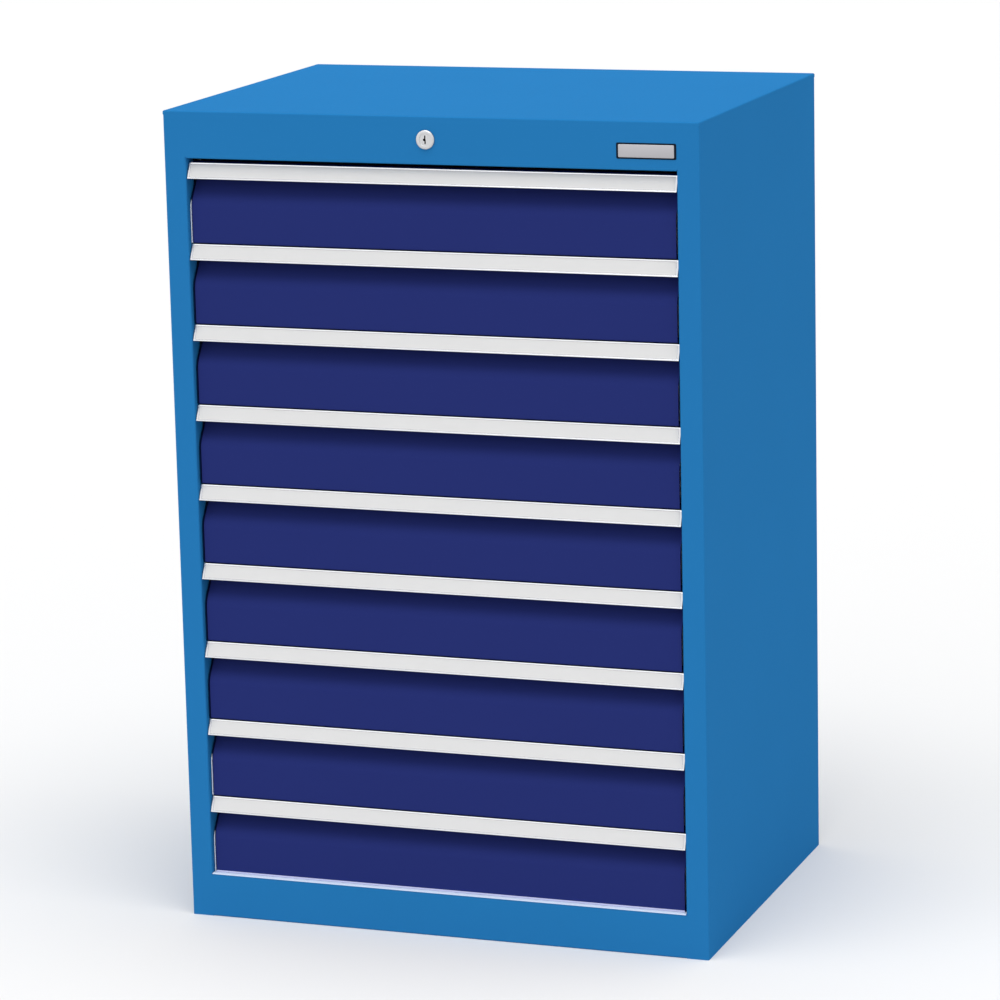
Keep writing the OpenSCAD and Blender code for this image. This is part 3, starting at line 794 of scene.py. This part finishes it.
@dataclass
class Drawer:
    """One drawer: front skin, grip strip, painted top flange, label insert, tray and slides.

    The lowest drawer also has a pale trim along the lower edge of its front.

    Attributes:
        number: Number of the drawer, from the top.
        count: Number of drawers.
        lowest_z: Underside of the lowest drawer.
        pitch: Height from one drawer to the next.
        half_width: Half the width of the grip strip.
        skin_half: Half the width of the front skin, between the cheeks of the tray.
        label_half: Half the length of the label insert.
        label_end: Width of the closed ends of the label channel.
        label_run: Length over which the channel comes out to its closed ends.
        face_y: Front of the skin.
        pocket_y: Skin behind the grip.
        skin_foot_y: End of the skin's bottom flange.
        skin_low: Height of the skin's bottom flange.
        lean_low: Height at which the skin starts to lean back.
        lean_high: Height at which it stands up again.
        skin_high: Top of the skin.
        skin_t: Thickness of the skin.
        skin_bends: Outer bend radii of the skin, from its top to its foot.
        grip_low: Lower edge of the grip face, as depth and height.
        grip_high: Upper edge of the grip face.
        grip_t: Thickness of the grip.
        bead: Width of the bead along the lower edge.
        bead_drop: How far the bead reaches below the lower edge.
        nose: How far the bead stands out in front of the face.
        nose_h: Height of the bead's front.
        lip: Width of the lips beside the label.
        channel: Depth of the label channel.
        grip_rounds: Radii of the grip's corners, from the lower lip round bead and back to the channel.
        label_t: Thickness of the label.
        label_set: How far the label lies behind the lips.
        label_crown: How far the middle of the label bows out.
        label_steps: Straight pieces across the bow.
        web: Thickness of the top flange and its legs.
        leg: Length of the legs.
        leg_front: Back face of the front leg.
        leg_back: Front face of the back leg.
        flange_back: Back of the top flange.
        flange_rounds: Radii of the flange's corners, from its front edge along its underside to its back.
        trim_t: Thickness of the trim on the lowest drawer.
        trim_low: Lower edge of the trim.
        trim_high: Upper edge of the trim.
        trim_round: Radius of the trim's front edges.
        pale_cheeks: Numbers of the drawers whose left cheek is pale bluish white along its front edge.
    """

    number: int
    count: int = 9
    lowest_z: float = LOWEST_DRAWER
    pitch: float = DRAWER_PITCH
    half_width: float = 311.0
    skin_half: float = 308.3
    label_half: float = 308.3
    label_end: float = 2.5
    label_run: float = 0.2
    face_y: float = -244.0
    pocket_y: float = -224.0
    skin_foot_y: float = -230.0
    skin_low: float = 0.0
    lean_low: float = 50.5
    lean_high: float = 78.9
    skin_high: float = 96.5
    skin_t: float = 1.2
    skin_bends: tuple[float, ...] = (0, 6, 24, 2.5, 0)
    grip_low: tuple[float, float] = (-249.0, 79.9)
    grip_high: tuple[float, float] = (-242.0, 98.5)
    grip_t: float = 3.0
    bead: float = 4.3
    bead_drop: float = 0.35
    nose: float = 0.34
    nose_h: float = 0.4
    lip: float = 1.5
    channel: float = 1.2
    grip_rounds: tuple[float, ...] = (0.1, 0.15, 0.2, 2.1, 1.2, 0.6, 0, 0, 0.2, 0.1, 0.1, 0.1)
    label_t: float = 0.8
    label_set: float = 0.2
    label_crown: float = 0.15
    label_steps: int = 12
    web: float = 1.8
    leg: float = 12.0
    leg_front: float = -224.2
    leg_back: float = -221.4
    flange_back: float = -219.6
    flange_rounds: tuple[float, ...] = (0, 0, 0.6, 0.4, 0.4, 0.3, 0.3, 0.4, 0.4, 0.8)
    trim_t: float = 0.4
    trim_low: float = 0.1
    trim_high: float = 2.2
    trim_round: float = 0.15
    pale_cheeks: tuple[int, ...] = (1, 8, 9)

    @property
    def body(self) -> str:
        """Name of the drawer's body, which starts the names of its nodes."""
        return f"drawer_{self.number}"

    def placed(self, outline: np.ndarray) -> np.ndarray:
        """Lifts an outline from the drawer's underside to its place in the cabinet."""
        return outline + np.array([0, self.lowest_z + (self.count - self.number) * self.pitch])

    def slant(self) -> tuple[np.ndarray, np.ndarray, np.ndarray, np.ndarray]:
        """Returns the grip face's lower and upper edge, and the directions along it and into it."""
        low, high = np.array(self.grip_low), np.array(self.grip_high)
        along = unit(high - low)
        return low, high, along, -left(along)

    def build_front(self) -> Piece:
        """Sweeps the front skin: up the face, back through a soft bend, and up behind the grip."""
        path = [
            (self.pocket_y, self.skin_high), (self.pocket_y, self.lean_high), (self.face_y, self.lean_low),
            (self.face_y, self.skin_low), (self.skin_foot_y, self.skin_low),
        ]
        outline = self.placed(sheet_outline(path, self.skin_bends, self.skin_t))
        skin = swept_bar(f"{self.body}_front_skin", outline, across(self.skin_half))
        return settle(skin, NIGHT_BLUE, self.body, "front_paint", f"{self.body}_front")

    def build_grip(self) -> Piece:
        """Sweeps the grip strip: slanted face with the label channel, and a bead along the lower edge.

        The lip below the label slopes out to the bead and catches the light from above. At the closed ends of
        the channel, each point of it comes out to the face along the face's normal.
        """
        low, high, along, inward = self.slant()
        under = low - along * self.bead_drop
        over = under + along * self.bead
        back_y = high[0] + self.grip_t
        corners = [
            low + along * self.lip,
            under + along * self.nose_h - inward * self.nose, under - inward * self.nose,
            under + inward * self.bead, over + inward * self.bead,
            over + inward * self.grip_t, (back_y, high[1] - self.web), (back_y, high[1]), high,
            high - along * self.lip, high - along * self.lip + inward * self.channel,
            low + along * self.lip + inward * self.channel,
        ]
        outline = rounded(corners, self.grip_rounds, Sides.CLOSED)
        depth, height = (outline - low) @ inward, (outline - low) @ along
        edge, top = self.lip / 2, np.linalg.norm(high - low)
        channel = (depth > 0) & (depth < self.channel + SAME_MM) & (height > edge) & (height < top - edge)
        flush = outline - inward * np.where(channel, depth, 0)[:, None]
        end = self.half_width - self.label_end
        inner = across(end - self.label_run)
        places = np.concatenate([[-self.half_width, -end], inner, [end, self.half_width]])
        outlines = np.where((np.abs(places) < end)[:, None, None], outline, flush)
        grip = swept_bar(f"{self.body}_grip_strip", self.placed(outlines), places)
        return settle(grip, GRIP_ALUMINIUM, self.body, "grip_aluminium", f"{self.body}_grip")

    def build_flange(self) -> Piece:
        """Sweeps the painted flange that carries the grip strip and straddles the top of the front."""
        front_y, top = self.grip_high[0] + self.grip_t, self.grip_high[1]
        roof, foot = top - self.web, top - self.web - self.leg
        corners = [
            (front_y, top), (front_y, roof),
            (self.leg_front - self.web, roof), (self.leg_front - self.web, foot),
            (self.leg_front, foot), (self.leg_front, roof), (self.leg_back, roof), (self.leg_back, foot),
            (self.flange_back, foot), (self.flange_back, top),
        ]
        outline = self.placed(rounded(corners, self.flange_rounds, Sides.CLOSED))
        flange = swept_bar(f"{self.body}_top_flange", outline, across(self.half_width))
        return settle(flange, NIGHT_BLUE, self.body, "front_paint")

    def build_label(self) -> Piece:
        """Sweeps the label insert, whose face bows out: crown * (1 - t^2) for t from -1 to 1 across it."""
        low, high, along, inward = self.slant()
        gap = self.lip + self.label_set
        t = np.linspace(-1, 1, self.label_steps + 1)[:, None]
        middle, reach = (low + high) / 2, np.linalg.norm(high - low) / 2 - gap
        face = middle + along * t * reach + inward * (self.label_set - self.label_crown * (1 - t**2))
        back = middle + along * np.array([[1], [-1]]) * reach + inward * (self.label_set + self.label_t)
        outline = self.placed(np.concatenate([face, back]))
        label = swept_bar(f"{self.body}_label_insert", outline, across(self.label_half))
        return settle(label, LABEL_PVC, self.body, "label_card", f"{self.body}_label")

    def build_trim(self) -> Piece:
        """Sweeps the flat trim along the lower edge of the front."""
        front_y = self.face_y - self.trim_t
        corners = [
            (front_y, self.trim_low), (self.face_y, self.trim_low), (self.face_y, self.trim_high),
            (front_y, self.trim_high),
        ]
        outline = self.placed(rounded(corners, [self.trim_round, 0, 0, self.trim_round], Sides.CLOSED))
        trim = swept_bar(f"{self.body}_edge_trim", outline, across(self.skin_half))
        return settle(trim, TRIM_PVC, self.body, "tray_paint")

    def build(self) -> list[Piece]:
        """Builds the pieces of the front, and dresses the tray and the slides."""
        tray_coat = TRAY_PALE_CHEEK if self.number in self.pale_cheeks else TRAY_GREY
        return [
            self.build_front(), self.build_grip(), self.build_flange(), self.build_label(),
            *([self.build_trim()] if self.number == self.count else []),
            *dress_nodes(tray_coat, f"{self.body}_tray"),
            *dress_nodes(BRIGHT_ZINC, f"{self.body}_carriages"),
        ]


@dataclass
class CentralLock:
    """Cylinder lock in the top rail, with its shaft, lift bar and hooks at the back.

    Attributes:
        height: Height of the lock's axis.
        bore_r: Radius of the hole for the plug.
        flange_r: Radius of the flange.
        body_r: Radius of the threaded body.
        flange_y: Face of the flange.
        rail_y: Face of the top rail.
        body_y: Back end of the body.
        rounds: Radii of the housing's corners, from the front of the bore round the rim to the bore's back.
    """

    height: float = LOCK_Z
    bore_r: float = 7.05
    flange_r: float = 11.75
    body_r: float = 9.25
    flange_y: float = -252.5
    rail_y: float = RAIL_Y
    body_y: float = -222.0
    rounds: tuple[float, ...] = (0.35, 1.7, 0.15, 0, 0.4, 0.2)

    def build_housing(self) -> Piece:
        """Turns the housing: a flange with a rounded rim, and the body behind the rail."""
        corners = [
            (self.bore_r, self.flange_y), (self.flange_r, self.flange_y), (self.flange_r, self.rail_y),
            (self.body_r, self.rail_y), (self.body_r, self.body_y), (self.bore_r, self.body_y),
        ]
        outline = rounded(corners, self.rounds, Sides.CLOSED)
        housing = turned_ring("lock_flange_and_body", outline, x=0, z=self.height)
        return settle(housing, LOCK_NICKEL, "cabinet", "lock_nickel", "lock_housing")

    def build(self) -> list[Piece]:
        """Builds the housing and dresses the parts that keep their shape."""
        return [
            self.build_housing(),
            *dress_nodes(PLUG_NICKEL, "lock_plug"),
            *dress_nodes(LOCK_ZINC, "lock_nut", "lock_shaft", "lock_bar", "lock_hooks", "lock_guides"),
        ]


@dataclass
class BadgePlate:
    """Bare plate at the right-hand end of the top rail, on a black sheet whose rim shows as a border of
    painted shadow.

    Attributes:
        middle: Middle of the plate across the cabinet and in height.
        size: Width and height of the plate.
        corner: Radius of its corners.
        rail_y: Face of the top rail.
        face_y: Face of the plate.
        rim: Radius of the plate's rounded rim.
        rim_steps: Straight pieces in the rounding.
        shadow_t: Thickness of the painted shadow sheet.
        shadow_size: Width and height of the painted shadow sheet.
        shadow_corner: Radius of the painted shadow sheet's corners.
        shadow_rim: Width of the bevel along the painted shadow sheet's edge.
    """

    middle: tuple[float, float] = (275.0, 983.8)
    size: tuple[float, float] = (68.6, 15.4)
    corner: float = 1.5
    rail_y: float = RAIL_Y
    face_y: float = -251.2
    rim: float = 0.5
    rim_steps: int = 5
    # painted shadow: a black sheet a little larger than the plate, for the dark border round it
    shadow_t: float = 0.35
    shadow_size: tuple[float, float] = (73.6, 19.0)
    shadow_corner: float = 2.0
    shadow_rim: float = 0.1

    def build(self) -> list[Piece]:
        """Builds the black sheet of painted shadow and the plate, whose rim rounds over to its face."""
        shadow_y = self.rail_y - self.shadow_t
        bevel = np.array([[0.0, self.rail_y], [0.0, shadow_y + self.shadow_rim], [self.shadow_rim, shadow_y]])
        # painted shadow sheet behind the plate
        shadow_sheet = rimmed_plate("badge_painted_shadow_sheet", self.middle, self.shadow_size, self.shadow_corner, bevel)
        turn = np.linspace(0, math.pi / 2, self.rim_steps + 1)
        inset, drop = self.rim * (1 - np.cos(turn)), self.rim * (1 - np.sin(turn))
        round_over = np.concatenate([[[0.0, shadow_y]], np.column_stack([inset, self.face_y + drop])])
        plate = rimmed_plate("badge_bare_plate", self.middle, self.size, self.corner, round_over)
        return [
            settle(shadow_sheet, PAINTED_SHADOW_BLACK, "cabinet", "badge_silver"),
            settle(plate, BADGE_ALUMINIUM, "cabinet", "badge_silver", "badge_plate"),
        ]


@dataclass(frozen=True)
class Softbox:
    """A far softbox, which lights the whole cabinet evenly.

    Attributes:
        name: Name of the lamp.
        towards: Direction from the cabinet to the lamp.
        strength: Strength in watts per square metre.
        spread_deg: Angle that the softbox fills, seen from the cabinet.
        distance: How far off the lamp hangs in metres, which makes no difference to its light.
    """

    name: str
    towards: tuple[float, float, float]
    strength: float
    spread_deg: float
    distance: float = 4.0

    def build(self) -> Piece:
        """Hangs the lamp so that it shines from its direction."""
        light = bpy.data.lights.new(self.name, "SUN")
        light.energy = self.strength
        light.angle = math.radians(self.spread_deg)
        lamp = bpy.data.objects.new(self.name, light)
        lamp.rotation_euler = Vector(self.towards).to_track_quat("Z", "Y").to_euler()
        lamp.location = Vector(self.towards).normalized() * self.distance
        bpy.context.scene.collection.objects.link(lamp)
        return lamp


@dataclass
class Studio:
    """Pale floor, even white surroundings, far softboxes, and the camera at the photograph's place.

    Attributes:
        floor_half: Half the side of the floor in metres.
        floor_cells: Cells along each side of the floor.
        ambient: Strength of the surroundings as light on matt surfaces.
        place: Place of the camera in metres.
        right: Direction of the picture's right.
        ahead: Direction in which the camera looks.
        lens_mm: Focal length of the lens.
        sensor_mm: Width of the sensor.
        sight: How far the camera sees in metres.
    """

    floor_half: float = 12.0
    floor_cells: int = 8
    ambient: float = 0.36
    place: tuple[float, float, float] = (1.78331, -4.94742, 1.64105)
    right: tuple[float, float, float] = (0.94173869, 0.3356412, -0.0217536)
    ahead: tuple[float, float, float] = (-0.33243049, 0.91898926, -0.21201108)
    lens_mm: float = 152.987
    sensor_mm: float = 36.0
    sight: float = 100.0

    def softboxes(self) -> list[Softbox]:
        """Lists the lamps: one overhead, the key at the front left, and a weak fill at the right."""
        return [
            Softbox("overhead_softbox", (0.1, -0.15, 1.0), 2.4, 60),
            Softbox("key_softbox", (-0.45, -0.8, 0.55), 0.7, 70),
            Softbox("fill_softbox", (0.9, -0.35, 0.3), 0.32, 70),
        ]

    def build_floor(self) -> Piece:
        """Lays the floor as a flat grid about the origin."""
        cells, row = self.floor_cells, self.floor_cells + 1
        line = np.linspace(-self.floor_half, self.floor_half, row) / MM
        x, y = np.meshgrid(line, line, indexing="ij")
        points = np.stack([x, y, np.zeros_like(x)], axis=-1).reshape(-1, 3)
        k = np.arange(cells)[:, None] * row + np.arange(cells)[None, :]
        faces = np.stack([k, k + row, k + row + 1, k + 1], axis=-1).reshape(-1, 4)
        floor = make_piece("studio_floor", points, faces.tolist())
        FLOOR_WHITE.dress(floor)
        return floor

    def build_world(self) -> None:
        """Surrounds the scene with white for the camera, gloss and glass, and with soft light otherwise."""
        world = bpy.data.worlds.new("studio_white")
        bpy.context.scene.world = world
        world.use_nodes = True
        tree = world.node_tree
        tree.nodes.clear()
        rays = add_node(tree, "ShaderNodeLightPath").outputs
        either = {0: rays["Is Camera Ray"], 1: rays["Is Glossy Ray"]}
        seen = add_node(tree, "ShaderNodeMath", either, operation="ADD", use_clamp=True)
        either = {0: seen.outputs[0], 1: rays["Is Transmission Ray"]}
        shown = add_node(tree, "ShaderNodeMath", either, operation="ADD", use_clamp=True)
        soft = add_node(tree, "ShaderNodeBackground", {"Color": (1, 1, 1, 1), "Strength": self.ambient})
        white = add_node(tree, "ShaderNodeBackground", {"Color": (1, 1, 1, 1), "Strength": 1.0})
        mixed = add_node(
            tree, "ShaderNodeMixShader", {0: shown.outputs[0], 1: soft.outputs[0], 2: white.outputs[0]}
        )
        add_node(tree, "ShaderNodeOutputWorld", {"Surface": mixed.outputs[0]})

    def build_camera(self) -> Piece:
        """Sets the camera from its place, the picture's right and the direction in which it looks."""
        data = bpy.data.cameras.new("photo_camera")
        data.sensor_fit, data.sensor_width, data.lens = "HORIZONTAL", self.sensor_mm, self.lens_mm
        data.clip_end = self.sight
        camera = bpy.data.objects.new("photo_camera", data)
        right, ahead = Vector(self.right).normalized(), Vector(self.ahead).normalized()
        turn = Matrix((right, right.cross(ahead), -ahead)).transposed()
        camera.matrix_world = Matrix.Translation(self.place) @ turn.to_4x4()
        bpy.context.scene.collection.objects.link(camera)
        bpy.context.scene.camera = camera
        return camera

    def build(self) -> list[Piece]:
        """Builds the studio and sets the plain view transform."""
        bpy.context.scene.view_settings.view_transform = "Standard"
        self.build_world()
        return [self.build_floor(), *(box.build() for box in self.softboxes()), self.build_camera()]


def main() -> None:
    """Builds the sub-assemblies and the studio in order, and logs each piece."""
    logging.basicConfig(level=logging.INFO, format="%(name)s: %(message)s")
    drawers = [Drawer(number) for number in range(1, Drawer.count + 1)]
    for assembly in [Carcass(), *drawers, CentralLock(), BadgePlate(), Studio()]:
        for piece in assembly.build():
            log.info("%s: %s", type(assembly).__name__, piece.name)


if __name__ == "__main__":
    main()
